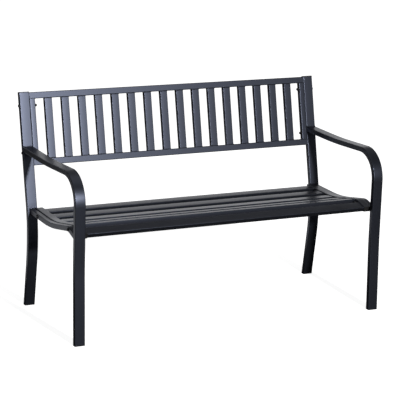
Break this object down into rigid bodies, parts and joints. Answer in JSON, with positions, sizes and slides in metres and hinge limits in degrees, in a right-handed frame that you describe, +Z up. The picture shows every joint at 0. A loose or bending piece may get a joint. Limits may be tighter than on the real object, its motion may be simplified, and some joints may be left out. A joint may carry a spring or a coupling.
{
  "type": "porch bench",
  "caption": "Steel garden bench with armrests, a leaning back panel of upright slats and a dished seat of long pressed slats, bolted between two bent side frames.",
  "frame": {"origin": "on the ground, under the middle of the bench's bounding box", "axes": "+X along the bench to the sitter's left, +Y from the front to the back, +Z up"},
  "size_m": [1.279, 0.6167, 0.8247],
  "materials": {
    "powder_coat": "satin black powder coat with a fine orange peel",
    "black_plastic": "matt moulded plastic",
    "black_zinc": "black plated screws, washers and nuts"
  },
  "bodies": {
    "root": {"arm_leg_left": "powder_coat", "arm_leg_right": "powder_coat", "back_nuts": "black_zinc", "back_rail_lower": "powder_coat", "back_rail_upper": "powder_coat", "back_screws": "black_zinc", "back_slat_01": "powder_coat", "back_slat_02": "powder_coat", "back_slat_03": "powder_coat", "back_slat_04": "powder_coat", "back_slat_05": "powder_coat", "back_slat_06": "powder_coat", "back_slat_07": "powder_coat", "back_slat_08": "powder_coat", "back_slat_09": "powder_coat", "back_slat_10": "powder_coat", "back_slat_11": "powder_coat", "back_slat_12": "powder_coat", "back_slat_13": "powder_coat", "back_slat_14": "powder_coat", "back_slat_15": "powder_coat", "back_slat_16": "powder_coat", "back_stile_left": "powder_coat", "back_stile_right": "powder_coat", "back_washers": "black_zinc", "front_foot_left": "black_plastic", "front_foot_right": "black_plastic", "post_cap_left": "black_plastic", "post_cap_right": "black_plastic", "rear_foot_left": "black_plastic", "rear_foot_right": "black_plastic", "rear_post_left": "powder_coat", "rear_post_right": "powder_coat", "seat_bar_plugs": "black_plastic", "seat_end_bar_left": "powder_coat", "seat_end_bar_right": "powder_coat", "seat_nuts": "black_zinc", "seat_rail_left": "powder_coat", "seat_rail_right": "powder_coat", "seat_screws": "black_zinc", "seat_slat_1": "powder_coat", "seat_slat_2": "powder_coat", "seat_slat_3": "powder_coat", "seat_slat_4": "powder_coat", "seat_slat_5": "powder_coat", "seat_slat_6": "powder_coat", "seat_strap": "powder_coat", "seat_washers": "black_zinc"}
  },
  "joints": []
}
